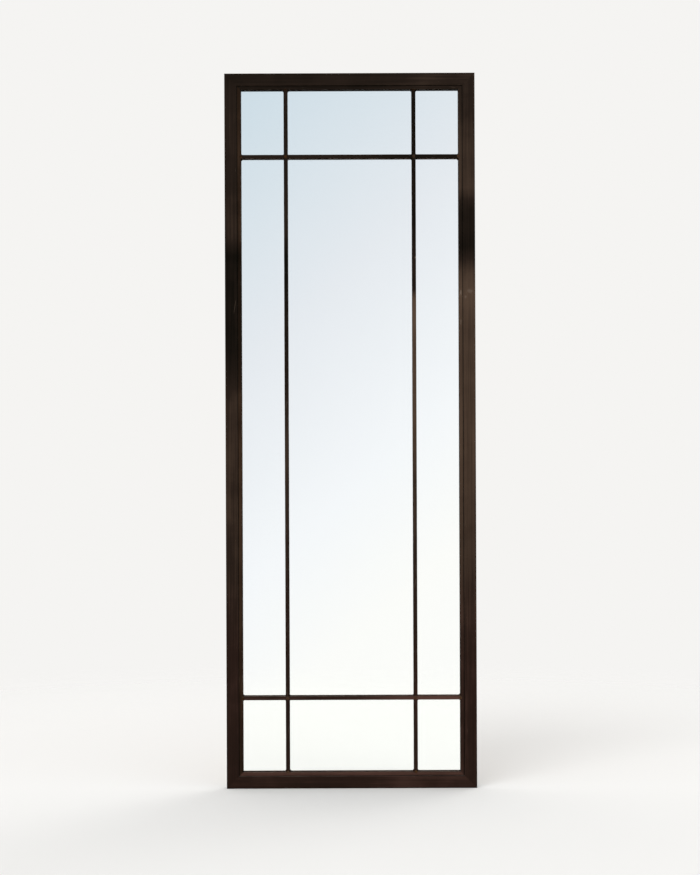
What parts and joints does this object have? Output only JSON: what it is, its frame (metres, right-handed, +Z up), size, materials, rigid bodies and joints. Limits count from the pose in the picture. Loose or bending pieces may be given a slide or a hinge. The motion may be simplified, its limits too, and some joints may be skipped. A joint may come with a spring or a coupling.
{
  "type": "full-length mirror",
  "caption": "Tall framed wall mirror with a bronzed steel tube frame, a lattice of welded bars over the glass, and a back panel held by turn buttons, with hanging rings.",
  "frame": {"origin": "the middle of the underside of the bottom rail, at half the tube's depth", "axes": "+Z up the mirror, +X to the right as a viewer faces it, the glass faces -Y and the wall lies at +Y"},
  "size_m": [0.7, 0.034, 2],
  "materials": {
    "bronzed_steel": "satin dark bronze",
    "mirror": "silvered float glass",
    "tape": "black foam tape",
    "rubber": "matt black rubber",
    "card": "grey board",
    "fibreboard": "raw fibreboard",
    "zinc_steel": "bright zinc plate"
  },
  "bodies": {
    "mirror": {"left_stile": "bronzed_steel", "right_stile": "bronzed_steel", "top_rail": "bronzed_steel", "bottom_rail": "bronzed_steel", "left_bead": "bronzed_steel", "right_bead": "bronzed_steel", "top_bead": "bronzed_steel", "bottom_bead": "bronzed_steel", "left_bar": "bronzed_steel", "right_bar": "bronzed_steel", "upper_bar": "bronzed_steel", "lower_bar": "bronzed_steel", "crossing_welds": "bronzed_steel", "bar_end_welds": "bronzed_steel", "mirror_glass": "mirror", "glazing_tape": "tape", "setting_blocks": "rubber", "edge_spacers": "rubber", "wall_bumpers": "rubber", "card_liner": "card", "back_panel": "fibreboard", "button_screws": "zinc_steel", "left_hanger_strap": "zinc_steel", "right_hanger_strap": "zinc_steel", "hanger_screws": "zinc_steel"},
    "turn_button_left_1": {"turn_button_left_1": "zinc_steel"},
    "turn_button_left_2": {"turn_button_left_2": "zinc_steel"},
    "turn_button_left_3": {"turn_button_left_3": "zinc_steel"},
    "turn_button_left_4": {"turn_button_left_4": "zinc_steel"},
    "turn_button_right_1": {"turn_button_right_1": "zinc_steel"},
    "turn_button_right_2": {"turn_button_right_2": "zinc_steel"},
    "turn_button_right_3": {"turn_button_right_3": "zinc_steel"},
    "turn_button_right_4": {"turn_button_right_4": "zinc_steel"},
    "turn_button_top": {"turn_button_top": "zinc_steel"},
    "turn_button_bottom": {"turn_button_bottom": "zinc_steel"},
    "left_hanger_ring": {"left_hanger_ring": "zinc_steel"},
    "right_hanger_ring": {"right_hanger_ring": "zinc_steel"}
  },
  "joints": [
    {"name": "turn_button_left_1_swivel", "type": "hinge", "parent": "mirror", "child": "turn_button_left_1", "pos_m": [-0.326, 0.01345, 0.25], "axis": [0, 1, 0], "range_deg": [-90, 90]},
    {"name": "turn_button_left_2_swivel", "type": "hinge", "parent": "mirror", "child": "turn_button_left_2", "pos_m": [-0.326, 0.01345, 0.75], "axis": [0, 1, 0], "range_deg": [-90, 90]},
    {"name": "turn_button_left_3_swivel", "type": "hinge", "parent": "mirror", "child": "turn_button_left_3", "pos_m": [-0.326, 0.01345, 1.25], "axis": [0, 1, 0], "range_deg": [-90, 90]},
    {"name": "turn_button_left_4_swivel", "type": "hinge", "parent": "mirror", "child": "turn_button_left_4", "pos_m": [-0.326, 0.01345, 1.75], "axis": [0, 1, 0], "range_deg": [-90, 90]},
    {"name": "turn_button_right_1_swivel", "type": "hinge", "parent": "mirror", "child": "turn_button_right_1", "pos_m": [0.326, 0.01345, 0.25], "axis": [0, 1, 0], "range_deg": [-90, 90]},
    {"name": "turn_button_right_2_swivel", "type": "hinge", "parent": "mirror", "child": "turn_button_right_2", "pos_m": [0.326, 0.01345, 0.75], "axis": [0, 1, 0], "range_deg": [-90, 90]},
    {"name": "turn_button_right_3_swivel", "type": "hinge", "parent": "mirror", "child": "turn_button_right_3", "pos_m": [0.326, 0.01345, 1.25], "axis": [0, 1, 0], "range_deg": [-90, 90]},
    {"name": "turn_button_right_4_swivel", "type": "hinge", "parent": "mirror", "child": "turn_button_right_4", "pos_m": [0.326, 0.01345, 1.75], "axis": [0, 1, 0], "range_deg": [-90, 90]},
    {"name": "turn_button_top_swivel", "type": "hinge", "parent": "mirror", "child": "turn_button_top", "pos_m": [0, 0.01345, 1.976], "axis": [0, 1, 0], "range_deg": [-90, 90]},
    {"name": "turn_button_bottom_swivel", "type": "hinge", "parent": "mirror", "child": "turn_button_bottom", "pos_m": [0, 0.01345, 0.024], "axis": [0, 1, 0], "range_deg": [-90, 90]},
    {"name": "left_hanger_ring_swing", "type": "hinge", "parent": "mirror", "child": "left_hanger_ring", "pos_m": [-0.3325, 0.0163, 1.6], "axis": [1, 0, 0], "range_deg": [0, 180]},
    {"name": "right_hanger_ring_swing", "type": "hinge", "parent": "mirror", "child": "right_hanger_ring", "pos_m": [0.3325, 0.0163, 1.6], "axis": [1, 0, 0], "range_deg": [0, 180]}
  ]
}
